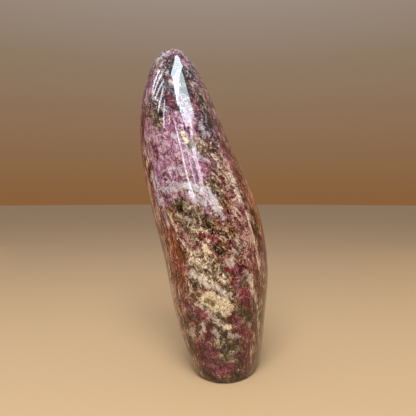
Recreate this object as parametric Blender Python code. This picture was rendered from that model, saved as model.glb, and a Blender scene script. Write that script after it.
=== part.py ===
"""A polished freeform of rubellite tourmaline in its matrix: one leaning stone on a small ground foot.

The stone is one piece. It is described by level sections, from the foot to the tip, each a soft-cornered
oval with its own place, width, depth and turn. The sections make a coarse cage, and a Subdivision Surface
rounds it into the even skin that grinding and polishing give the real stone.

Units are metres, +Z is up, +X is to the viewer's right and +Y is away from the viewer. The origin is the
centre of the flat foot.
"""

import math

import bmesh
import bpy

# Driving sizes: the stone's height, its widest level section, how far its tip stands off to the left, and how
# far its belly comes towards the viewer.
STONE_HEIGHT = 0.135
STONE_WIDTH = 0.045
STONE_DEPTH = 0.042
TIP_LEAN = 0.0235
BELLY_REACH = 0.002

# Level sections from the foot up, as shares of the driving sizes: height, lean to the left, reach towards the
# viewer, width and depth. The last value is the section's turn in degrees, anticlockwise from above. The lower
# half is a little deeper than the upper one, so that the leaning stone's weight stays well over its foot.
SECTIONS = (
    (0.000, 0.00, 0.00, 0.59, 0.99, -18),
    (0.015, 0.00, 0.10, 0.61, 1.01, -12),
    (0.085, 0.05, 0.40, 0.73, 1.06, -15),
    (0.180, 0.13, 1.10, 0.84, 1.08, -18),
    (0.290, 0.16, 1.10, 0.93, 1.06, -17),
    (0.400, 0.26, 1.00, 0.98, 1.02, -16),
    (0.510, 0.43, 1.00, 1.01, 0.94, -15),
    (0.620, 0.64, 0.90, 0.95, 0.80, -15),
    (0.730, 0.83, 0.60, 0.82, 0.69, -15),
    (0.830, 0.92, 0.40, 0.69, 0.55, -15),
    (0.915, 0.98, 0.00, 0.51, 0.42, -15),
    (0.970, 1.00, -0.10, 0.32, 0.27, -15),
    (1.000, 1.00, -0.10, 0.17, 0.15, -15),
)

SECTION_POINTS = 16
SOFT_CORNERS = 2.2
FLAT_OF_FOOT = 0.96
SMOOTHING_LEVELS = 2

RUBELLITE_PINK = (0.30, 0.12, 0.17, 1.0)
POLISH_ROUGHNESS = 0.15


def clear_scene():
    """Removes every object, so that only the stone is left."""
    for old in list(bpy.data.objects):
        bpy.data.objects.remove(old, do_unlink=True)


def cage_growth(points):
    """How far a cage ring stands outside the smooth curve that the subdivision draws from it."""
    return 6.0 / (4.0 + 2.0 * math.cos(2.0 * math.pi / points))


def soft_oval(angle, half_width, half_depth):
    """A point of an oval whose corners are a little fuller than an ellipse's."""
    power = 2.0 / SOFT_CORNERS
    x = math.copysign(abs(math.cos(angle)) ** power, math.cos(angle))
    y = math.copysign(abs(math.sin(angle)) ** power, math.sin(angle))
    return half_width * x, half_depth * y


def section_ring(section, scale=1.0):
    """The corner points of one section's cage ring."""
    height, lean, reach, width, depth, turn = section
    growth = cage_growth(SECTION_POINTS) * scale
    half_width = 0.5 * STONE_WIDTH * width * growth
    half_depth = 0.5 * STONE_DEPTH * depth * growth
    cosine, sine = math.cos(math.radians(turn)), math.sin(math.radians(turn))
    ring = []
    for step in range(SECTION_POINTS):
        x, y = soft_oval(2.0 * math.pi * step / SECTION_POINTS, half_width, half_depth)
        ring.append((
            x * cosine - y * sine - TIP_LEAN * lean,
            x * sine + y * cosine - BELLY_REACH * reach,
            STONE_HEIGHT * height,
        ))
    return ring


def stone_mesh():
    """The cage: a flat foot, the sections joined ring to ring, and a small cap on the tip."""
    cage = bmesh.new()
    rings = [section_ring(SECTIONS[0], FLAT_OF_FOOT)]
    rings += [section_ring(section) for section in SECTIONS]
    rings = [[cage.verts.new(point) for point in ring] for ring in rings]
    for lower, upper in zip(rings, rings[1:]):
        for step in range(SECTION_POINTS):
            after = (step + 1) % SECTION_POINTS
            cage.faces.new((lower[step], lower[after], upper[after], upper[step]))
    cage.faces.new(list(reversed(rings[0])))
    cage.faces.new(rings[-1])
    mesh = bpy.data.meshes.new("tourmaline_freeform")
    cage.to_mesh(mesh)
    cage.free()
    mesh.shade_smooth()
    return mesh


def polished_stone_material():
    """The stone's average colour and polish."""
    material = bpy.data.materials.new("polished_rubellite")
    material.use_nodes = True
    surface = material.node_tree.nodes["Principled BSDF"]
    surface.inputs["Base Color"].default_value = RUBELLITE_PINK
    surface.inputs["Roughness"].default_value = POLISH_ROUGHNESS
    surface.inputs["Metallic"].default_value = 0.0
    return material


def build_stone():
    """The whole object: one solid stone."""
    stone = bpy.data.objects.new("tourmaline_freeform", stone_mesh())
    bpy.context.scene.collection.objects.link(stone)
    stone.data.materials.append(polished_stone_material())
    smoothing = stone.modifiers.new("polished skin", "SUBSURF")
    smoothing.levels = SMOOTHING_LEVELS
    smoothing.render_levels = SMOOTHING_LEVELS
    return stone


clear_scene()
build_stone()
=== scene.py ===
# %% [markdown]
# # A polished rubellite freeform
# The object is one natural stone. Pink tourmaline, grey-brown mica, white quartz and a little cream feldspar
# grew through each other, and the lump was ground to a leaning, rounded form and polished all over.
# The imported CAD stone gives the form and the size. This notebook gives it a fine skin and its minerals, and
# then sets a camera, a floor and soft light.

import math
import random

import bmesh
import bpy
import numpy as np
from mathutils import Matrix, Vector, noise


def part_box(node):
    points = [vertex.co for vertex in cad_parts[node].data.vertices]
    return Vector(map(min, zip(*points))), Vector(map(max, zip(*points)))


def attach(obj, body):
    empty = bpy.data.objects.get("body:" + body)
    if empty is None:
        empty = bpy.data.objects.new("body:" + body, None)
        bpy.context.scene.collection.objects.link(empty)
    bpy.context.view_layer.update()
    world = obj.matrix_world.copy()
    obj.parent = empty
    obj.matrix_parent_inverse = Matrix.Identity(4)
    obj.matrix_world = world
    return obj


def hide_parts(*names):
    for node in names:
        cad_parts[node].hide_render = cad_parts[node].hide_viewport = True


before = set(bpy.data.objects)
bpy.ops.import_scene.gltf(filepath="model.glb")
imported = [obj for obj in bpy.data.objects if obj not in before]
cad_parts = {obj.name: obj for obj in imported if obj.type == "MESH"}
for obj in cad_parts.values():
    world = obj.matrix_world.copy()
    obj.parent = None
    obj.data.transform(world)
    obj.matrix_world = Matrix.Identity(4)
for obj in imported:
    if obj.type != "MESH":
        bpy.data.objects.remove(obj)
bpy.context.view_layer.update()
CAD_NODE = "tourmaline_freeform"
MM = 0.001
low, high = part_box(CAD_NODE)
stone_height = high.z - low.z
print("CAD stone, mm:", [round(side / MM, 1) for side in high - low])

# %% [markdown]
# ## Camera
# The level lines of the place in the picture run towards a horizon a little above its middle, so the camera
# is level with the stone's own middle and looks down by less than two degrees. A frame as wide as the lens is
# long gives the strong perspective of a close phone picture. It could be placed by trial, but the horizon and
# the foot's height in the frame fix it with no guessing.

# %% Place the camera
PICTURE_SIDE = 416
LENS = 36.0
CAMERA_AT = Vector((-8.4, -179.0, 73.0)) * MM
LOOK_DOWN = math.radians(1.79)

bpy.ops.object.select_all(action="DESELECT")
bpy.ops.object.camera_add(location=CAMERA_AT, rotation=(math.pi / 2 - LOOK_DOWN, 0.0, 0.0))
camera = bpy.context.object
camera.name = "studio_camera"
camera.data.lens = LENS
camera.data.sensor_width = LENS
camera.data.clip_start = 0.01
bpy.context.scene.camera = camera
bpy.context.view_layer.update()
print("camera, mm:", [round(value / MM, 1) for value in CAMERA_AT])

# %% [markdown]
# ## The stone's skin
# A real freeform is ground by eye, so its skin is smooth and its sections are soft ovals that turn and drift
# on the way up. The form could be taken from a sculpt, or from a sphere wrapped on to the CAD stone. A sphere
# would lose the edge of the ground foot, so the skin is drawn up from the foot, ring by ring, as a potter
# pulls a wall. Each ring is centred on the CAD stone's own section there, and is then wrapped on to it.

# %% Measure the CAD stone's level sections
cad_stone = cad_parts[CAD_NODE]
SECTION_REACH = 2.5 * MM


def section_at(height):
    """Centre and half sizes of the CAD stone's section near one height."""
    near = [v.co for v in cad_stone.data.vertices if abs(v.co.z - height) < SECTION_REACH]
    xs, ys = [co.x for co in near], [co.y for co in near]
    centre = Vector(((min(xs) + max(xs)) / 2, (min(ys) + max(ys)) / 2, height))
    return centre, (max(xs) - min(xs)) / 2, (max(ys) - min(ys)) / 2


RING_STEP = 4.0 * MM
RIM_HEIGHTS = (0.0, 0.6 * MM, 2.0 * MM)
TIP_HEIGHTS = (stone_height - 3.6 * MM, stone_height - 1.2 * MM)
heights = list(RIM_HEIGHTS)
while heights[-1] + RING_STEP < TIP_HEIGHTS[0]:
    heights.append(heights[-1] + RING_STEP)
heights += TIP_HEIGHTS
print("rings:", len(heights))

# %% Draw the rings up from the foot
RING_POINTS = 36

bpy.ops.object.select_all(action="DESELECT")
centre, half_x, half_y = section_at(heights[0])
bpy.ops.mesh.primitive_circle_add(vertices=RING_POINTS, radius=1.0, location=(0.0, 0.0, 0.0))
stone = bpy.context.object
stone.name = "polished_stone"
stone.data.name = "polished_stone"
bpy.ops.object.mode_set(mode="EDIT")
bpy.ops.mesh.select_all(action="SELECT")
bpy.ops.transform.resize(value=(half_x, half_y, 1.0), center_override=(0.0, 0.0, 0.0))
bpy.ops.transform.translate(value=centre)
for height in heights[1:]:
    before, before_x, before_y = centre, half_x, half_y
    centre, half_x, half_y = section_at(height)
    bpy.ops.mesh.extrude_region_move(TRANSFORM_OT_translate={"value": centre - before})
    bpy.ops.transform.resize(value=(half_x / before_x, half_y / before_y, 1.0), center_override=centre)
bpy.ops.object.mode_set(mode="OBJECT")
print("ring cage faces:", len(stone.data.polygons))

# %% [markdown]
# The open ends are closed with a grid of quads, because a fan of triangles would leave a star in the gloss
# at the tip.

# %% Close the tip and the foot
def select_edges_at(test):
    """Selects the open edges whose ends pass a test on their place."""
    mesh = bmesh.from_edit_mesh(stone.data)
    for edge in mesh.edges:
        edge.select_set(edge.is_boundary and all(test(v.co) for v in edge.verts))
    bmesh.update_edit_mesh(stone.data)


bpy.ops.object.mode_set(mode="EDIT")
bpy.ops.mesh.select_mode(type="EDGE")
for at_an_end in (lambda co: co.z > stone_height / 2, lambda co: co.z < stone_height / 2):
    bpy.ops.mesh.select_all(action="DESELECT")
    select_edges_at(at_an_end)
    bpy.ops.mesh.fill_grid(span=RING_POINTS // 4)
bpy.ops.mesh.select_all(action="SELECT")
bpy.ops.mesh.normals_make_consistent(inside=False)
bpy.ops.object.mode_set(mode="OBJECT")
print("closed cage faces:", len(stone.data.polygons))

# %% [markdown]
# The extrude leaves the cage's faces in an order that changes from run to run. Subdivision would pass that
# on to the order of its points, and the strokes strewn later pick points by number. So the cage is rebuilt
# from the same points and faces, with every face numbered from its lowest corner and all in order.

# %% Put the cage in order
def from_lowest(corners):
    """A face's corners, turned round so that the lowest number comes first."""
    first = corners.index(min(corners))
    return corners[first:] + corners[:first]


cage_points = [v.co.copy() for v in stone.data.vertices]
cage_edges = sorted(sorted(edge.vertices) for edge in stone.data.edges)
cage_faces = sorted(from_lowest(list(face.vertices)) for face in stone.data.polygons)
stone.data.clear_geometry()
stone.data.from_pydata(cage_points, cage_edges, cage_faces)
print("ordered cage edges and faces:", len(stone.data.edges), len(stone.data.polygons))

# %% Wrap the cage on to the CAD stone and smooth it
CAGE_PULL_IN = 0.12 * MM
SKIN_LEVELS = 3

bpy.ops.object.select_all(action="DESELECT")
wrap_target = cad_stone.copy()
wrap_target.data = cad_stone.data.copy()
wrap_target.name = "wrap_target"
bpy.context.scene.collection.objects.link(wrap_target)
bpy.context.view_layer.objects.active = wrap_target
wrap_target.select_set(True)
bpy.ops.object.mode_set(mode="EDIT")
bpy.ops.mesh.select_all(action="SELECT")
bpy.ops.mesh.remove_doubles(threshold=0.01 * MM)
bpy.ops.object.mode_set(mode="OBJECT")

bpy.ops.object.select_all(action="DESELECT")
bpy.context.view_layer.objects.active = stone
stone.select_set(True)
in_the_foot = [v.index for v in stone.data.vertices if v.co.z < 0.1 * MM]
wrap = stone.modifiers.new("wrap on the stone", "SHRINKWRAP")
wrap.target = wrap_target
wrap.wrap_method = "NEAREST_SURFACEPOINT"
wrap.wrap_mode = "OUTSIDE_SURFACE"
wrap.offset = CAGE_PULL_IN
bpy.ops.object.modifier_apply(modifier=wrap.name)
for index in in_the_foot:
    stone.data.vertices[index].co.z = 0.0
skin = stone.modifiers.new("polished skin", "SUBSURF")
skin.levels = SKIN_LEVELS
skin.render_levels = SKIN_LEVELS
bpy.ops.object.modifier_apply(modifier=skin.name)
bpy.data.objects.remove(wrap_target, do_unlink=True)
bpy.ops.object.shade_smooth()
print("skin faces:", len(stone.data.polygons))
sides = [max(v.co[axis] for v in stone.data.vertices) - min(v.co[axis] for v in stone.data.vertices)
         for axis in range(3)]
print("skin, mm:", [round(side / MM, 2) for side in sides])

# %% [markdown]
# ## Hand-ground relief
# A stone ground against a wheel by hand is never a perfect form: broad, very shallow swells bend its
# reflections. They could be painted as bump, but real relief also shows on the outline, so a Displace
# modifier with a soft cloud pattern moves the skin by a few tenths of a millimetre. The foot was ground flat
# on a plate, so it is kept out by a vertex group and then levelled.

# %% Swell the skin a little
SWELL_HEIGHT = 0.8 * MM
SWELL_SIZE = 0.022
FOOT_KEPT_FLAT = 14.0 * MM

bpy.ops.object.select_all(action="DESELECT")
bpy.context.view_layer.objects.active = stone
stone.select_set(True)
swells = bpy.data.textures.new("hand-ground swells", "CLOUDS")
swells.noise_scale = SWELL_SIZE
swells.noise_depth = 0
stone.vertex_groups.clear()
swell_group = stone.vertex_groups.new(name="free to swell")
for vertex in stone.data.vertices:
    swell_group.add([vertex.index], min(1.0, vertex.co.z / FOOT_KEPT_FLAT), "REPLACE")
swell = stone.modifiers.new("swells", "DISPLACE")
swell.texture = swells
swell.texture_coords = "LOCAL"
swell.strength = SWELL_HEIGHT
swell.mid_level = 0.5
swell.vertex_group = swell_group.name
bpy.ops.object.modifier_apply(modifier=swell.name)
for vertex in stone.data.vertices:
    vertex.co.z = max(vertex.co.z, 0.0)
stone.data.update()
print("lowest point, mm:", round(min(v.co.z for v in stone.data.vertices) / MM, 3))

# %% [markdown]
# ## Painting the minerals
# On the real stone each mineral is a body with its own outline: a vein, a lens or a crystal, cut by the
# polish. One noise pattern can't place them. So each kind is painted on the skin as a field in millimetres,
# above zero inside its bodies and below zero outside, and the material later adds the ragged edges and
# the grain. Every stroke is a half width in millimetres and the picture points that it passes through. Each
# point is sent from the camera on to the skin, so a stroke lies on the stone from any side.

# %% Send picture points on to the skin
skin_points = np.array([v.co for v in stone.data.vertices]) / MM
skin_normals = np.array([v.normal for v in stone.data.vertices])
camera_turn = camera.matrix_world.to_3x3()
STROKE_STEP = 4.0


def seen_at(across, down):
    """The place on the skin, in mm, that shows at a point of the 416-pixel picture."""
    half = PICTURE_SIDE / 2
    ray = camera_turn @ Vector((across - half, half - down, -PICTURE_SIDE))
    hit, place, _, _ = stone.ray_cast(CAMERA_AT, ray.normalized())
    if not hit:
        raise ValueError("no stone at %s, %s" % (across, down))
    return np.array(place) / MM


def stroke_path(points):
    """Places along a stroke, close enough together to follow the round of the skin."""
    places = [seen_at(*points[0])]
    for start, end in zip(points, points[1:]):
        steps = max(1, round(math.dist(start, end) / STROKE_STEP))
        for step in range(1, steps + 1):
            share = step / steps
            places.append(seen_at(start[0] + (end[0] - start[0]) * share, start[1] + (end[1] - start[1]) * share))
    return places


# %% Measure every skin point against a stroke
WANDER = 0.9
WANDER_SIZE = 4.5
OUTSIDE = -30.0
noise.seed_set(11)
wander = np.array([noise.noise_vector(Vector(place / WANDER_SIZE)) for place in skin_points])
wandered_points = skin_points + WANDER * wander


def inside(path, half_width):
    """How far inside a stroke each skin point lies, in mm, and below zero outside it."""
    nearest = np.full(len(wandered_points), np.inf)
    ends = path[1:] or path
    for start, end in zip(path, ends):
        along = end - start
        share = np.clip((wandered_points - start) @ along / max(along @ along, 1e-9), 0.0, 1.0)
        gap = np.linalg.norm(wandered_points - start - share[:, None] * along, axis=1)
        nearest = np.minimum(nearest, gap)
    return half_width - nearest


fields = {}


def paint(kind, strokes):
    """Adds strokes of one kind to its field."""
    field = fields.setdefault(kind, np.full(len(skin_points), OUTSIDE))
    for half_width, *points in strokes:
        np.maximum(field, inside(stroke_path(points), half_width), out=field)
    print(kind, "strokes:", len(strokes))


# %% Pale pink and mauve tourmaline
paint("mauve", (
    (4.5, (172, 122), (170, 148)),
    (3.6, (188, 120), (190, 165)),
    (2.0, (197, 152), (200, 166)),
    (1.5, (170, 197), (184, 197), (192, 200)),
    (3.4, (163, 152), (176, 180)),
    (2.8, (153, 122), (154, 150), (161, 182)),
    (1.5, (160, 198), (168, 203)),
    (2.8, (196, 156), (204, 176)),
    (2.2, (198, 172), (196, 180)),
    (1.6, (178, 59), (187, 65)),
    (1.4, (150, 80), (145, 98)),
    (2.0, (146, 126), (146, 150)),
    (1.0, (155, 74), (150, 92)),
    (1.6, (205, 205), (208, 216)),
    (1.6, (172, 194), (182, 197)),
))

# %% Dark plum tourmaline
paint("plum", (
    (0.8, (164, 59), (173, 57)),
    (0.7, (155, 68), (160, 64)),
    (1.2, (165, 78), (171, 77)),
    (2.0, (169, 99), (173, 106)),
    (0.9, (187, 79), (190, 80)),
    (1.2, (196, 95), (201, 101)),
    (0.8, (201, 101), (206, 108)),
    (1.5, (155, 108), (158, 112)),
    (1.2, (207, 164), (209, 176)),
    (0.8, (185, 128), (188, 128)),
    (1.0, (196, 126), (199, 132)),
    (0.6, (169, 153), (171, 154)),
    (0.8, (146, 88), (144, 100)),
    (1.0, (144, 118), (143, 140)),
    (1.8, (205, 344), (212, 352)),
    (0.8, (201, 358), (206, 363)),
    (1.0, (181, 299), (190, 306)),
    (1.0, (209, 329), (212, 338)),
    (0.8, (229, 315), (235, 322)),
))

# %% More dark plum, below the brightest reflections and along the left rim
paint("plum", (
    (1.3, (153, 68), (160, 58), (167, 53)),
    (0.8, (180, 54), (187, 62)),
    (1.2, (148, 86), (152, 73)),
    (1.4, (144, 104), (142, 124)),
    (0.9, (145, 140), (149, 156)),
    (1.5, (151, 70), (155, 62)),
    (1.4, (192, 98), (199, 114)),
    (1.2, (208, 138), (213, 152)),
    (1.4, (210, 158), (216, 168)),
    (1.6, (238, 268), (245, 284)),
    (1.4, (240, 286), (246, 306)),
    (1.4, (236, 318), (241, 330)),
    (1.2, (226, 212), (230, 224)),
    (1.0, (214, 362), (224, 366)),
    (1.0, (206, 372), (212, 378)),
))

# %% Broad plum clouds near the foot
paint("plum", (
    (1.8, (203, 350), (209, 366)),
    (1.8, (216, 369), (234, 367)),
    (1.5, (238, 356), (247, 362)),
    (1.2, (152, 140), (158, 158)),
    (1.6, (236, 282), (242, 296)),
    (1.3, (201, 84), (208, 102)),
    (1.2, (211, 110), (219, 128)),
    (1.0, (216, 132), (224, 146)),
))

# %% Crimson rubellite crystals
paint("crimson", (
    (1.6, (208, 329), (209, 337)),
    (1.0, (211, 354), (214, 355)),
    (0.7, (228, 364), (231, 364)),
    (1.3, (213, 371), (213, 375)),
    (1.2, (223, 369), (223, 374)),
    (1.6, (199, 309), (201, 316)),
    (1.0, (185, 304), (187, 306)),
    (2.1, (244, 292), (248, 301)),
    (1.0, (234, 279), (235, 283)),
    (1.6, (231, 315), (234, 319)),
    (1.5, (242, 331), (249, 336)),
    (1.0, (249, 342), (250, 346)),
    (1.1, (228, 269), (232, 272)),
    (1.2, (241, 263), (243, 269)),
    (1.4, (209, 239), (214, 240)),
    (1.5, (201, 234), (204, 237)),
    (0.5, (174, 209), (174, 211)),
    (0.5, (183, 215), (184, 216)),
    (0.5, (202, 220), (203, 222)),
    (0.5, (201, 288), (215, 293), (229, 297)),
    (0.8, (210, 312), (214, 312)),
    (0.9, (178, 262), (184, 268)),
    (0.8, (202, 257), (204, 258)),
    (0.6, (186, 321), (189, 330)),
    (1.0, (200, 347), (203, 362)),
    (0.8, (196, 341), (199, 345)),
    (0.8, (246, 352), (250, 360)),
))

# %% White and grey quartz, with some painted highlights, glints and reflections
paint("quartz_and_sheen", (
    (1.5, (164, 191), (172, 186.5), (183, 185), (193, 186), (201, 190)),
    (1.8, (204, 192), (213, 201)),
    (1.2, (213, 203), (219, 212)),
    (0.7, (219, 212), (223, 218)),
    (1.0, (196, 198), (204, 204)),
    (0.8, (193, 150), (199, 155), (206, 159)),
    (1.0, (174, 135), (179, 140)),
    (0.9, (200, 124), (204, 135)),
    # The next three strokes are painted highlight: thin bright arcs that the round tip mirrors.
    (0.4, (155, 61), (162, 56.5), (170, 54.5)),
    (0.35, (164, 52), (171, 51)),
    (0.35, (154, 66), (158, 61)),
    (0.6, (167, 82), (171, 83)),
    (0.4, (214, 154), (218, 170), (221, 174)),
    (1.3, (192, 274), (200, 279), (209, 285), (221, 291), (228, 296)),
    (0.8, (197, 303), (207, 310), (216, 320), (221, 323)),
    (1.0, (230, 335), (238, 336)),
    (0.9, (249, 325), (250, 325)),
    (0.8, (202, 323), (204, 330)),
    (0.6, (215, 330), (217, 340)),
    (0.8, (192, 330), (194, 335)),
    (1.2, (230, 261), (232, 263)),
    (0.8, (234, 251), (236, 253)),
    (0.7, (188, 218), (190, 219)),
    (0.6, (178, 169), (182, 175)),
    # The next four strokes are painted glints and highlight: mica flashing along the right flank.
    (0.7, (231, 174), (237, 190)),
    (0.8, (237, 190), (241, 200)),
    (0.7, (245, 270), (252, 285)),
    (0.9, (252, 290), (257, 300)),
    # The next five strokes are painted reflection: pale streaks that the left rim mirrors.
    (0.6, (164, 236), (170, 275)),
    (0.5, (161, 200), (168, 225)),
    (0.8, (152, 172), (160, 205)),
    (0.6, (171, 285), (179, 325)),
    (0.5, (182, 330), (188, 345)),
))

# %% White wisps below the arc
paint("quartz_and_sheen", (
    (0.7, (207, 190), (213, 198)),
    (0.8, (156, 178), (162, 192)),
    (0.6, (170, 168), (178, 172)),
    (0.7, (189, 194), (197, 199)),
    (0.8, (197, 200), (203, 207)),
    (0.8, (236, 240), (241, 248)),
))

# %% Cream feldspar, with painted glints along the right flank
paint("cream_and_glints", (
    (3.0, (209, 299), (221, 306)),
    (2.6, (223, 304), (226, 310)),
    (1.2, (225, 326), (229, 328)),
    (1.3, (204, 247), (208, 253)),
    (1.0, (182, 134), (187, 141)),
    # The next four dashes are painted glints: mica flashing along the right flank.
    (0.5, (229.5, 172), (231, 177)),
    (0.5, (232, 180), (234, 186)),
    (0.4, (235, 189), (236, 193)),
    (0.5, (237.5, 196), (239, 201)),
    (0.35, (211, 143), (212, 147)),
    (0.35, (215, 154), (217, 160)),
))

# %% Lacy cream seams, with painted glints, a painted highlight and a painted reflection on the right flank
paint("lace_and_sheen", (
    (0.6, (168, 212), (178, 236), (190, 251), (199, 263), (203, 269)),
    (0.6, (187, 280), (191, 292)),
    # This stroke is painted highlight: a pale streak that the right flank mirrors.
    (0.5, (250, 275), (256, 300)),
    (0.6, (257, 305), (259, 340)),
    # This stroke is painted reflection: the pale ground mirrored low on the right flank.
    (0.4, (252, 345), (251, 366)),
    # This stroke is painted glints: mica flashing along the right flank.
    (0.55, (229, 174), (235, 188), (241, 202)),
    (0.3, (214, 154), (219, 170)),
    (0.4, (246, 212), (256, 245), (261, 285)),
    (0.4, (193, 230), (200, 229), (209, 233)),
    (0.4, (193, 238), (203, 244), (210, 242)),
    (1.0, (192, 258), (202, 268)),
    (1.0, (200, 262), (212, 270)),
    (0.9, (207, 261), (215, 267)),
    (0.9, (212, 271), (226, 281)),
    (0.8, (203, 275), (216, 284)),
    (0.3, (150, 128), (148, 165)),
))

# %% Olive heart of the cream body
paint("hollow", (
    (1.3, (208, 300), (212, 303)),
    (0.6, (217, 312), (220, 314)),
))

# %% Near-black mica, and painted shade in two small pits
paint("dark", (
    (2.6, (175.5, 63), (181, 78)),
    (1.6, (185, 82), (186, 92)),
    (1.5, (196, 88), (205, 106)),
    (0.9, (213, 146), (221, 160)),
    (1.4, (155, 64), (163, 56)),
    (0.8, (243, 283), (247, 297)),
    (0.7, (252, 298), (254, 312)),
    (1.0, (206, 374), (222, 379)),
    (0.9, (148, 104), (150, 112)),
    (1.3, (208, 218), (211, 224)),
    (1.4, (208, 227), (212, 233)),
    (1.4, (217, 246), (221, 253)),
    (2.1, (240, 311), (250, 318)),
    (0.7, (223, 334), (226, 338)),
    (1.6, (157, 110), (160, 115)),
    (1.0, (189, 143), (192, 150)),
    # The next two dots are painted shade: the dark inside of two small pits in the polish.
    (0.6, (192.5, 339), (193, 339.5)),
    (0.9, (166, 154), (167, 153)),
    (1.3, (205, 108), (212, 124)),
    (1.1, (177, 206), (181, 212)),
    (0.6, (226, 362), (232, 357)),
    (1.4, (252, 212), (258, 235)),
    (0.8, (245, 272), (247, 285)),
))

# %% Olive mica with pale flecks
paint("fleck", (
    (4.2, (180, 208), (198, 222)),
    (1.6, (208, 182), (220, 194)),
    (2.6, (184, 222), (196, 236)),
    (2.4, (154, 114), (158, 124)),
    (2.8, (196, 142), (202, 148)),
    (4.2, (200, 262), (218, 274)),
    (2.8, (224, 345), (236, 357)),
    (1.8, (186, 322), (192, 338)),
))

# %% Rosy, half-clear tourmaline
paint("rosy", (
    (3.2, (143, 128), (146, 170), (156, 215)),
    (2.0, (160, 215), (170, 280), (180, 325)),
    (1.8, (222, 150), (238, 200), (250, 262)),
    (1.4, (236, 190), (252, 240)),
    (2.6, (199, 234), (214, 239)),
    (1.8, (180, 226), (190, 244)),
    (2.2, (188, 236), (200, 252)),
    (2.2, (226, 262), (243, 272)),
    (1.6, (186, 303), (196, 312)),
    (1.2, (244, 334), (250, 346)),
    (1.2, (214, 370), (224, 373)),
    (0.8, (224, 164), (236, 205)),
    (1.0, (230, 195), (246, 250)),
    (0.8, (238, 230), (252, 275)),
    (0.8, (148, 172), (158, 215)),
))

# %% Rust-brown stain, with a painted warm reflection along the right rim
paint("rust_and_warm_sheen", (
    (2.8, (170, 228), (176, 252)),
    (2.0, (163, 226), (169, 262)),
    (2.2, (176, 258), (182, 268)),
    # The next two thin strokes trace the right rim: rust-brown streaks, partly painted reflection of warm light that
    # the rim mirrors.
    (0.8, (240, 178), (255, 225)),
    (0.8, (212, 104), (231, 150)),
))

# %% The sides that the picture does not show carry the same minerals, strewn by seeded chance
chance = np.random.default_rng(11)
HIDDEN_FROM = -0.1
SLANT = np.array([-0.5, 0.0, 0.87])
hidden_points = skin_points[(skin_normals[:, 1] > HIDDEN_FROM) & (skin_points[:, 2] > 4.0)]


def strew(kind, count, half_widths, lengths):
    """Adds strokes of one kind at chance places on the hidden sides, drawn out along the slant."""
    field = fields[kind]
    for _ in range(count):
        start = hidden_points[chance.integers(len(hidden_points))]
        length = chance.uniform(*lengths)
        wished = [start + SLANT * length * share for share in (0.0, 0.5, 1.0)]
        path = [skin_points[np.argmin(((skin_points - spot) ** 2).sum(axis=1))] for spot in wished]
        np.maximum(field, inside(path, chance.uniform(*half_widths)), out=field)
    print(kind, "strewn on the hidden sides:", count)


strew("mauve", 30, (2.0, 4.2), (10.0, 26.0))
strew("rosy", 22, (1.2, 2.6), (10.0, 26.0))
strew("plum", 40, (0.8, 2.2), (4.0, 14.0))
strew("crimson", 44, (0.6, 1.6), (1.0, 6.0))
strew("quartz_and_sheen", 34, (0.6, 1.6), (6.0, 18.0))
strew("cream_and_glints", 10, (0.8, 1.8), (3.0, 8.0))
strew("lace_and_sheen", 24, (0.3, 0.6), (10.0, 28.0))
strew("dark", 38, (0.8, 2.0), (4.0, 12.0))
strew("fleck", 26, (1.6, 3.6), (4.0, 14.0))
strew("rust_and_warm_sheen", 5, (1.2, 2.4), (6.0, 12.0))

# %% Keep the fields on the mesh
for kind, field in fields.items():
    layer = stone.data.attributes.new(kind, "FLOAT", "POINT")
    layer.data.foreach_set("value", field.astype(np.float32))

FLANK_FROM, FLANK_TO = 0.42, 0.80
flank = np.clip((np.abs(skin_normals[:, 0]) - FLANK_FROM) / (FLANK_TO - FLANK_FROM), 0.0, 1.0)
flank_layer = stone.data.attributes.new("flank", "FLOAT", "POINT")
flank_layer.data.foreach_set("value", (flank * flank * (3.0 - 2.0 * flank)).astype(np.float32))
print("painted:", sorted(fields))

# %% [markdown]
# The minerals on the flanks are drawn out along the stone, and they follow its lean and its swelling. So a
# second set of coordinates is kept on the mesh: each point's place is measured from the middle of its own
# level section, as a share of that section's half width. Noise stretched along those coordinates flows with
# the form.

# %% Coordinates that flow with the form
FLOW_ACROSS = 22.0
level = skin_points[:, 2]
section_heights = np.array(heights[1:-1])
sections = [section_at(height) for height in section_heights]
middle_x = np.interp(level, section_heights / MM, [centre.x / MM for centre, _, _ in sections])
middle_y = np.interp(level, section_heights / MM, [centre.y / MM for centre, _, _ in sections])
reach_x = np.interp(level, section_heights / MM, [half / MM for _, half, _ in sections])
reach_y = np.interp(level, section_heights / MM, [half / MM for _, _, half in sections])
flow_points = np.stack(((skin_points[:, 0] - middle_x) / reach_x * FLOW_ACROSS,
                        (skin_points[:, 1] - middle_y) / reach_y * FLOW_ACROSS, level), axis=1)
flow_layer = stone.data.attributes.new("flow", "FLOAT_VECTOR", "POINT")
flow_layer.data.foreach_set("vector", flow_points.astype(np.float32).ravel())
print("flow coordinates, mm:", flow_points.min(axis=0).round(1), flow_points.max(axis=0).round(1))

# %% [markdown]
# ## The stone's material
# The material is built from the bottom up, as the stone is: first the brown mica matrix that fills every gap,
# then each mineral over it. A mineral's mask is its painted field plus fine noise, so its edge is as ragged
# as the real grain. Short helpers keep the node recipe readable.

# %% Helpers for nodes
paint_job = bpy.data.materials.new("polished_rubellite")
paint_job.use_nodes = True
tree = paint_job.node_tree
shader = tree.nodes["Principled BSDF"]


def put(socket, value):
    """Links a socket to another, or sets its value."""
    if isinstance(value, bpy.types.NodeSocket):
        tree.links.new(value, socket)
    elif isinstance(value, (tuple, list)) and len(value) == 3 and socket.type == "RGBA":
        socket.default_value = (*value, 1.0)
    else:
        socket.default_value = value


def add(kind, settings=None, **inputs):
    """A node of one kind, with its settings and its inputs by name."""
    node = tree.nodes.new(kind)
    for name, value in (settings or {}).items():
        setattr(node, name, value)
    for name, value in inputs.items():
        put(node.inputs[name.replace("_", " ")], value)
    return node


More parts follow.
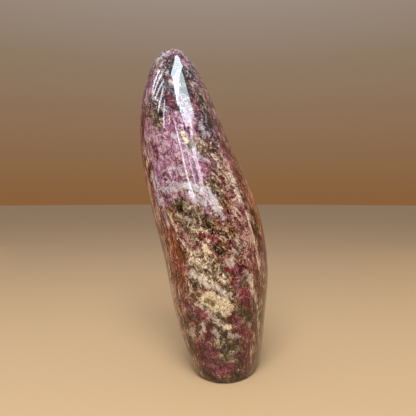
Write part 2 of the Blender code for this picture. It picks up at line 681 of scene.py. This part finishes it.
def calc(operation, *values):
    """One step of arithmetic."""
    node = tree.nodes.new("ShaderNodeMath")
    node.operation = operation
    for socket, value in zip(node.inputs, values):
        put(socket, value)
    return node.outputs[0]


def colour(text):
    """A linear colour from the two-digit hex shares that a paint chart gives."""
    shares = [int(text[start:start + 2], 16) / 255 for start in (0, 2, 4)]
    return tuple(s / 12.92 if s <= 0.04045 else ((s + 0.055) / 1.055) ** 2.4 for s in shares)


def tones(share, *chart):
    """A colour ramp through evenly spaced colours."""
    node = tree.nodes.new("ShaderNodeValToRGB")
    put(node.inputs["Fac"], share)
    stops = node.color_ramp.elements
    while len(stops) < len(chart):
        stops.new(0.5)
    for index, text in enumerate(chart):
        stops[index].position = index / (len(chart) - 1)
    for stop, text in zip(stops, chart):
        stop.color = (*colour(text), 1.0)
    return node.outputs["Color"]


def over(share, below, above):
    """Lays one colour over another."""
    node = tree.nodes.new("ShaderNodeMix")
    node.data_type = "RGBA"
    sockets = [s for s in node.inputs if s.enabled]
    for socket, value in zip(sockets, (share, below, above)):
        put(socket, value)
    return [s for s in node.outputs if s.enabled][0]


def ease(value, low, high, to_low=0.0, to_high=1.0):
    """A smooth step from low to high."""
    node = add("ShaderNodeMapRange", {"interpolation_type": "SMOOTHSTEP"}, Value=value)
    for name, number in (("From Min", low), ("From Max", high), ("To Min", to_low), ("To Max", to_high)):
        node.inputs[name].default_value = number
    return node.outputs["Result"]


# %% Coordinates in millimetres
object_place = add("ShaderNodeTexCoord").outputs["Object"]
place = add("ShaderNodeVectorMath", {"operation": "SCALE"}, Vector=object_place, Scale=1.0 / MM).outputs[0]
flow = add("ShaderNodeAttribute", {"attribute_name": "flow"}).outputs["Vector"]
flank_share = add("ShaderNodeAttribute", {"attribute_name": "flank"}).outputs["Fac"]


def swirled(where, size, reach, seed):
    """Coordinates carried about by soft noise, so that every pattern on them curls as a grown stone does."""
    spot = add("ShaderNodeMapping", Vector=where)
    spot.inputs["Location"].default_value = (seed * 37.7, seed * 17.3, seed * 11.9)
    node = add("ShaderNodeTexNoise", Vector=spot.outputs[0], Scale=1.0 / size, Detail=1.0)
    shift = add("ShaderNodeVectorMath", {"operation": "SUBTRACT"}, Vector=node.outputs["Color"])
    shift.inputs[1].default_value = (0.5, 0.5, 0.5)
    moved = add("ShaderNodeVectorMath", {"operation": "MULTIPLY_ADD"}, Vector=shift.outputs[0])
    moved.inputs[1].default_value = (reach, reach, reach)
    put(moved.inputs[2], where)
    return moved.outputs[0]


def drawn_out(where, tilt, stretch):
    """Coordinates whose patterns are drawn out along one direction, tilted to the left from upright."""
    node = add("ShaderNodeMapping", {"vector_type": "TEXTURE"}, Vector=where)
    node.inputs["Rotation"].default_value = (0.0, -tilt, 0.0)
    node.inputs["Scale"].default_value = (1.0, 1.0, stretch)
    return node.outputs[0]


FRONT_TILT = math.radians(32.0)
front_place = drawn_out(swirled(place, 6.0, 6.0, 30.0), FRONT_TILT, 2.2)
flow_place = drawn_out(swirled(flow, 6.0, 2.0, 31.0), 0.0, 5.0)


def clouds(size, detail, roughness, where=None, seed=0.0, distortion=0.0):
    """Soft noise whose largest lumps are about size millimetres."""
    spot = add("ShaderNodeMapping", Vector=where or place)
    spot.inputs["Location"].default_value = (seed * 37.7, seed * 17.3, seed * 11.9)
    node = add("ShaderNodeTexNoise", Vector=spot.outputs[0], Scale=1.0 / size, Detail=detail,
               Roughness=roughness, Distortion=distortion)
    return node.outputs["Fac"]


def grains(size, where=None, seed=0.0):
    """A random tone for each crystal grain of about size millimetres."""
    spot = add("ShaderNodeMapping", Vector=where or place)
    spot.inputs["Location"].default_value = (seed * 37.7, seed * 17.3, seed * 11.9)
    node = add("ShaderNodeTexVoronoi", Vector=spot.outputs[0], Scale=1.0 / size)
    return add("ShaderNodeSeparateColor", Color=node.outputs["Color"]).outputs["Red"]


def blend(share, first, second):
    """A value between two others."""
    return calc("MULTIPLY_ADD", share, calc("SUBTRACT", second, first), first)


def flowing(size, detail, roughness, seed, distortion=0.0):
    """Noise in fibres: slanting and curling on the front and back, and along the stone on the flanks."""
    return blend(flank_share, clouds(size, detail, roughness, front_place, seed, distortion),
                 clouds(size * 0.7, detail, roughness, flow_place, seed + 0.5, distortion * 0.4))


def painted(kind):
    """A painted field, in millimetres inside its bodies."""
    return add("ShaderNodeAttribute", {"attribute_name": kind}).outputs["Fac"]


# %% Shared patterns: grain tones and ragged edges
lumps = clouds(5.5, 3.0, 0.55, place, 1.0, 0.6)
patches = flowing(3.0, 4.0, 0.6, 2.0, 0.6)
veins = flowing(1.9, 3.0, 0.6, 3.0, 0.8)
edges = flowing(1.5, 4.0, 0.7, 4.0, 0.4)
fine_edges = flowing(0.7, 3.0, 0.7, 5.0)
fibres = flowing(0.8, 3.0, 0.7, 6.0, 0.3)
middle_noise = flowing(3.4, 3.0, 0.6, 13.0, 0.5)
speckle = clouds(0.55, 2.0, 0.7, place, 7.0)
cells = blend(flank_share, grains(0.7, place, 1.0), grains(0.5, flow_place, 2.0))
small_cells = grains(0.45, place, 3.0)


def mixed(*pairs):
    """A weighted sum of patterns, spread about one half."""
    total = 0.5
    for weight, pattern in pairs:
        total = calc("MULTIPLY_ADD", calc("SUBTRACT", pattern, 0.5), weight, total)
    return total


grain_tone = mixed((1.0, lumps), (1.6, veins), (2.2, fibres), (1.6, speckle), (0.16, cells))
soft_tone = mixed((1.8, patches), (1.9, fibres), (1.1, speckle))
calm_tone = mixed((1.4, patches), (1.2, fibres), (0.9, speckle))
streak_tone = mixed((1.8, veins), (2.4, fibres), (1.2, speckle))


def mask(kind, ragged, dither, soft, opacity=1.0, bias=0.0):
    """Where a mineral shows: its field, torn by noise at the edge and sown in grain by grain."""
    torn = calc("MULTIPLY_ADD", calc("SUBTRACT", edges, 0.5), ragged * 2.0, painted(kind))
    torn = calc("MULTIPLY_ADD", calc("SUBTRACT", fine_edges, 0.5), ragged, torn)
    sown_in = calc("MULTIPLY_ADD", calc("SUBTRACT", cells, 0.5), dither, torn)
    return ease(sown_in, -soft - bias, soft - bias, 0.0, opacity)


def sown(pattern, start, full, opacity=1.0):
    """A mineral that is not painted but scattered all over, where a pattern is strong."""
    return ease(pattern, start, full, 0.0, opacity)


def both(first, second):
    """The share where two masks agree."""
    return calc("MULTIPLY", first, second)


def threads(pattern, middle, half_width, opacity):
    """Thin curling lines, where a pattern passes through one value."""
    return ease(calc("ABSOLUTE", calc("SUBTRACT", pattern, middle)), half_width, half_width * 0.25, 0.0, opacity)


# %% Mica matrix with its scattered minerals
height = add("ShaderNodeSeparateXYZ", Vector=place).outputs["Z"]
upper_share = ease(height, 82.0, 102.0)
lower_share = ease(height, 38.0, 22.0)
surface = tones(grain_tone, "1E0C02", "40240E", "624024", "886440", "BA9E7E")
surface = over(upper_share, surface, tones(grain_tone, "120A0E", "2E1E26", "4A3E48", "726A7A", "A8A4B4"))
surface = over(lower_share, surface, tones(grain_tone, "140802", "301C0E", "4A3220", "644C38", "826C56"))
russet = over(upper_share, tones(grain_tone, "280A06", "4C2016", "6C3A30", "8E6656", "B8A090"),
              tones(grain_tone, "26080E", "421824", "5E3442", "866474", "B4A4AE"))
surface = over(sown(lumps, 0.52, 0.58, 0.75), surface, russet)
surface = over(sown(clouds(4.6, 3.0, 0.6, front_place, 11.0, 0.6), 0.57, 0.61, 0.85), surface,
               tones(grain_tone, "2A040A", "500E1A", "6E2E38", "946870"))
tuft_tone = over(upper_share, tones(soft_tone, "6E5C44", "9C8A70", "CEC2AE"), tones(soft_tone, "5C5856", "8C8888", "C4C0C2"))
surface = over(both(sown(patches, 0.59, 0.64, 0.85), ease(height, 30.0, 60.0, 0.1, 1.0)), surface, tuft_tone)
surface = over(sown(clouds(2.6, 3.0, 0.6, front_place, 12.0, 0.6), 0.585, 0.63, 0.85), surface,
               tones(grain_tone, "0A0602", "221808", "403420"))

# %% Rusty, rosy and cream fibres along the flanks
stained = both(ease(clouds(7.0, 2.0, 0.5, flow_place, 41.0), 0.42, 0.54, 0.15, 0.9), ease(height, 112.0, 98.0, 0.35, 1.0))
stained = both(stained, ease(height, 12.0, 44.0, 0.35, 1.0))
surface = over(both(flank_share, stained), surface,
               tones(grain_tone, "340E06", "60240E", "864424", "AC7858"))
fibre = clouds(1.5, 3.0, 0.6, flow_place, 21.0)
fibre_two = clouds(1.1, 3.0, 0.6, flow_place, 22.0)
surface = over(both(flank_share, both(sown(fibre, 0.49, 0.55, 0.7), both(ease(height, 112.0, 98.0, 0.4, 1.0), ease(height, 12.0, 40.0, 0.5, 1.0)))), surface,
               tones(grain_tone, "44160E", "703830", "94605A", "BC9890"))
surface = over(both(flank_share, sown(fibre_two, 0.60, 0.66, 0.6)), surface,
               tones(grain_tone, "80604A", "A89074", "D0C0A8"))

# %% Painted glints: a few pale grains stand in for flat mica flakes flashing in the light
glint_grain_tone = blend(flank_share, grains(0.8, front_place, 5.0), grains(0.6, flow_place, 6.0))
painted_glint = both(ease(glint_grain_tone, 0.90, 0.92), ease(fine_edges, 0.42, 0.50))
surface = over(both(painted_glint, ease(lumps, 0.46, 0.54, 0.0, 0.7)), surface, colour("D8CCB8"))

# %% Painted minerals over the matrix
surface = over(mask("rosy", 3.2, 1.2, 1.1, 0.8), surface,
               tones(grain_tone, "3A1218", "6C323C", "905C60", "B49088", "D2C0B4"))
surface = over(mask("rust_and_warm_sheen", 1.6, 0.6, 0.6, 0.85), surface,
               tones(streak_tone, "2C0A02", "501808", "702E14", "8E4E2C", "B07E5A"))
surface = over(mask("mauve", 2.6, 1.2, 1.0, 0.94), surface,
               tones(soft_tone, "4E1E36", "7A4264", "986A88", "B290A6", "D4C8D2"))
surface = over(both(mask("mauve", 1.6, 0.8, 0.8, 0.9), sown(veins, 0.57, 0.63, 0.7)), surface,
               tones(grain_tone, "A08898", "C4B4BE", "E4DCDE"))
surface = over(both(mask("mauve", 1.6, 0.8, 0.8, 0.9), sown(middle_noise, 0.57, 0.62, 0.8)), surface,
               tones(grain_tone, "34181C", "583A3A", "806260"))
surface = over(mask("fleck", 2.4, 1.2, 0.9, 0.9), surface,
               tones(grain_tone, "1A130B", "3E3224", "645442", "90806A", "C6BCA8"))
surface = over(mask("plum", 1.6, 0.8, 0.5, 0.9), surface,
               tones(grain_tone, "1E060A", "42121E", "5E2838", "7E4A58"))
surface = over(mask("dark", 1.4, 0.8, 0.5, 0.93), surface,
               tones(grain_tone, "060402", "1E170C", "40341E", "746850"))
surface = over(mask("crimson", 1.5, 0.8, 0.5, 0.93), surface,
               tones(grain_tone, "1E0206", "42060E", "640F22", "80283C", "9A545E"))
quartz_depth = ease(middle_noise, 0.38, 0.52, 0.55, 1.0)
quartz_tone = over(ease(height, 56.0, 68.0), tones(calm_tone, "847468", "AC9E90", "CABFB2", "EAE4DA"),
                   tones(calm_tone, "827A84", "AAA4AE", "CAC6D0", "EAE8F0"))
surface = over(both(mask("quartz_and_sheen", 1.6, 0.8, 0.7, 0.95), quartz_depth), surface, quartz_tone)
surface = over(mask("lace_and_sheen", 1.5, 1.6, 0.5, 0.9), surface, tones(grain_tone, "7C6048", "AA9278", "D4C4AA", "F4EADA"))
surface = over(mask("cream_and_glints", 1.1, 0.6, 0.35, 0.95), surface,
               tones(mixed((1.6, speckle), (1.4, fibres)), "6A4E2E", "A68C68", "CEBC9A", "E6DAC0", "F8F0E2"))
surface = over(mask("hollow", 0.8, 0.5, 0.4, 0.85), surface, tones(grain_tone, "30200C", "6A5434", "A08A64"))

# %% Pores in the cream feldspar, each painted dark as the shade inside it
pore = add("ShaderNodeTexVoronoi", Vector=place, Scale=1.5).outputs["Distance"]
# Painted shade: a dark dot in each cell stands for the shade inside a pore.
surface = over(both(mask("cream_and_glints", 1.1, 0.6, 0.35, 0.85), ease(pore, 0.30, 0.20, 0.0, 0.85)), surface, colour("4A3220"))

# %% Thin pale threads and dark red seams
pale_threads = threads(flowing(2.6, 1.5, 0.5, 8.0, 1.2), 0.5, 0.016, 0.75)
pale_threads = both(pale_threads, ease(height, 15.0, 55.0, 0.2, 0.9))
surface = over(both(pale_threads, ease(lumps, 0.42, 0.52)), surface, tones(grain_tone, "8C7458", "C0AE94", "E0D4C0"))
red_threads = threads(flowing(3.0, 1.5, 0.5, 9.0, 1.2), 0.5, 0.018, 0.8)
surface = over(both(red_threads, ease(lumps, 0.58, 0.46)), surface, colour("300A0C"))
dark_threads = threads(flowing(2.2, 1.5, 0.5, 10.0, 1.0), 0.5, 0.014, 0.7)
surface = over(dark_threads, surface, colour("1E1008"))

# %% Colour, gloss and polish
put(shader.inputs["Base Color"], surface)
shader.inputs["IOR"].default_value = 1.52
polish = ease(veins, 0.35, 0.7, 0.03, 0.075)
put(shader.inputs["Roughness"], calc("ADD", polish, ease(painted("cream_and_glints"), -0.2, 0.4, 0.0, 0.25)))

# %% Fine relief that polishing leaves: mica plucked a little, feldspar pores open
RELIEF = 0.06 * MM
pore_depth = both(ease(painted("cream_and_glints"), -0.2, 0.4), ease(pore, 0.32, 0.16))
mica_depth = both(flank_share, ease(fibres, 0.52, 0.40, 0.0, 0.4))
sunk = calc("ADD", pore_depth, mica_depth)
relief = add("ShaderNodeBump", Strength=0.5, Distance=RELIEF, Height=calc("SUBTRACT", 1.0, sunk))
put(shader.inputs["Normal"], relief.outputs["Normal"])
stone.data.materials.append(paint_job)
print("material nodes:", len(tree.nodes))
# %% [markdown]
# ## Floor
# A plain warm pale floor carries the stone's shadow and throws warm light back up on to its lower half.

# %% Stage: the floor
bpy.ops.object.select_all(action="DESELECT")
bpy.ops.mesh.primitive_circle_add(vertices=96, radius=3.0, fill_type="NGON", location=(0.0, 0.0, 0.0))
floor = bpy.context.object
floor.name = "studio_floor"
floor_paint = bpy.data.materials.new("pale_floor")
floor_paint.use_nodes = True
floor_shader = floor_paint.node_tree.nodes["Principled BSDF"]
floor_shader.inputs["Base Color"].default_value = (0.56, 0.39, 0.215, 1.0)
floor_shader.inputs["Roughness"].default_value = 0.6
floor.data.materials.append(floor_paint)

# %% [markdown]
# ## Light
# The picture was taken under a bright soft sky, so the light is strongest from above and weak from the sides,
# and the pale floor throws some warm light back up. A polished stone shows its lamps as clearly as a mirror
# does, so every bright shape on it is a lamp that has to stand in the right place. That place isn't
# guessed: the camera's line of sight is mirrored at the skin, and the lamp is set where it then points.

# %% The sky
world = bpy.data.worlds.new("soft room")
world.use_nodes = True
sky_nodes = world.node_tree.nodes
sky_links = world.node_tree.links
SKY_LEVELS = (
    (0.0, (0.15, 0.10, 0.055)),
    (0.5, (0.25, 0.12, 0.045)),
    (0.65, (0.275, 0.195, 0.13)),
    (1.0, (0.57, 0.585, 0.65)),
)
sky_direction = sky_nodes.new("ShaderNodeTexCoord")
sky_height = sky_nodes.new("ShaderNodeSeparateXYZ")
sky_share = sky_nodes.new("ShaderNodeMapRange")
sky_ramp = sky_nodes.new("ShaderNodeValToRGB")
sky_share.inputs["From Min"].default_value = -1.0
sky_links.new(sky_direction.outputs["Generated"], sky_height.inputs["Vector"])
sky_links.new(sky_height.outputs["Z"], sky_share.inputs["Value"])
sky_links.new(sky_share.outputs["Result"], sky_ramp.inputs["Fac"])
sky_links.new(sky_ramp.outputs["Color"], sky_nodes["Background"].inputs["Color"])
while len(sky_ramp.color_ramp.elements) < len(SKY_LEVELS):
    sky_ramp.color_ramp.elements.new(0.5)
for stop, (position, radiance) in zip(sky_ramp.color_ramp.elements, SKY_LEVELS):
    stop.position = position
    stop.color = (*radiance, 1.0)
bpy.context.scene.world = world
bpy.context.scene.view_settings.view_transform = "Standard"


# %% Lamps placed by what the skin mirrors
def mirrored(across, down, reach):
    """The place, reach metres from the skin, that a point of the picture mirrors."""
    half = PICTURE_SIDE / 2
    ray = (camera_turn @ Vector((across - half, half - down, -PICTURE_SIDE))).normalized()
    _, place, _, face = stone.ray_cast(CAMERA_AT, ray)
    normal = sum((stone.data.vertices[corner].normal for corner in stone.data.polygons[face].vertices), Vector())
    return place + reach * ray.reflect(normal.normalized()), place


def add_lamp(name, start, end, width, radiance, tint=(1.0, 1.0, 1.0), reach=0.5):
    """A soft strip that the stone mirrors between two picture points, width pixels wide."""
    head, _ = mirrored(*start, reach)
    tail, _ = mirrored(*end, reach)
    middle = ((start[0] + end[0]) / 2, (start[1] + end[1]) / 2)
    centre, target = mirrored(*middle, reach)
    centre = (head + tail + 2.0 * centre) / 4.0
    side_a, _ = mirrored(middle[0] - 1.5, middle[1], reach)
    side_b, _ = mirrored(middle[0] + 1.5, middle[1], reach)
    lamp_width = (side_a - side_b).length / 3.0 * width
    back = (centre - target).normalized()
    along = (head - tail)
    along = (along - along.dot(back) * back).normalized()
    turn = Matrix((along.cross(back), along, back)).transposed().to_euler()
    bpy.ops.object.select_all(action="DESELECT")
    bpy.ops.object.light_add(type="AREA", location=centre, rotation=turn)
    lamp = bpy.context.object
    lamp.name = name
    lamp.data.shape = "RECTANGLE"
    lamp.data.size = lamp_width
    lamp.data.size_y = (head - tail).length
    lamp.data.energy = radiance * math.pi * lamp.data.size * lamp.data.size_y
    lamp.data.color = tint
    lamp.visible_camera = False
    lamp.visible_diffuse = False
    print(name, "at mm", [round(c / MM) for c in centre], "size mm", round(lamp_width / MM),
          round(lamp.data.size_y / MM), "W", round(lamp.data.energy, 2))
    return lamp


def add_soft_key(place, target, size, watts, tint):
    """A wide soft lamp that lights the stone and the floor but isn't seen in the polish."""
    back = (place - target).normalized()
    across = Vector((0.0, 0.0, 1.0)).cross(back).normalized()
    turn = Matrix((across, back.cross(across), back)).transposed().to_euler()
    bpy.ops.object.select_all(action="DESELECT")
    bpy.ops.object.light_add(type="AREA", location=place, rotation=turn)
    lamp = bpy.context.object
    lamp.name = "soft_key"
    lamp.data.size = size
    lamp.data.energy = watts
    lamp.data.color = tint
    lamp.visible_camera = False
    lamp.visible_glossy = False
    return lamp


add_soft_key(Vector((-40.0, -350.0, 470.0)) * MM, Vector((-10.0, 0.0, 60.0)) * MM, 320.0 * MM, 3.7, (1.0, 1.0, 0.98))
SKY_TINT = (0.72, 0.88, 1.0)
LILAC_TINT = (0.88, 0.86, 1.0)
WARM_TINT = (1.0, 0.42, 0.12)
add_lamp("sky_window", (174.2, 62.0), (180.4, 73.0), 13.0, 19.0, SKY_TINT)
add_lamp("sky_window_low", (185.0, 81.0), (179.0, 106.0), 9.0, 12.0, SKY_TINT)
add_lamp("sky_window_edge", (173.5, 77.0), (178.0, 104.0), 1.5, 17.0, SKY_TINT)
add_lamp("haze", (183.0, 96.0), (189.0, 128.0), 12.0, 2.6, LILAC_TINT)
add_lamp("haze_low", (182.0, 140.0), (195.0, 188.0), 17.0, 1.7, LILAC_TINT)
add_lamp("strip_left", (174.3, 126.0), (193.2, 194.0), 1.3, 14.0, LILAC_TINT)
add_lamp("strip_middle", (180.0, 113.5), (192.5, 173.0), 1.2, 8.0, LILAC_TINT)
add_lamp("strip_right", (189.0, 113.5), (201.0, 187.0), 2.6, 8.0, LILAC_TINT)
add_lamp("strip_foot", (189.0, 190.0), (196.0, 205.0), 6.0, 7.0, LILAC_TINT)
add_lamp("streak_1", (160.0, 69.5), (152.0, 89.5), 0.9, 15.0, SKY_TINT)
add_lamp("streak_2", (162.0, 72.6), (153.3, 94.0), 0.9, 15.0, SKY_TINT)
add_lamp("streak_3", (164.0, 80.0), (154.6, 99.6), 0.9, 15.0, SKY_TINT)
add_lamp("streak_4", (163.0, 88.0), (157.6, 112.0), 0.9, 15.0, SKY_TINT)
add_lamp("streak_5", (164.5, 100.0), (163.5, 127.0), 0.9, 15.0, SKY_TINT)
add_lamp("warm_rim_top", (197.0, 76.0), (211.0, 106.0), 3.0, 0.8, WARM_TINT)
add_lamp("warm_rim_left", (151.0, 190.0), (164.0, 250.0), 4.0, 0.6, WARM_TINT)
add_lamp("warm_rim_right", (243.0, 174.0), (260.0, 225.0), 4.0, 0.6, WARM_TINT)
add_lamp("tip_line", (157.5, 58.5), (170.0, 54.0), 0.6, 6.0, SKY_TINT)

# %% Hand the pieces to the frame
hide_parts(CAD_NODE)
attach(stone, "root")
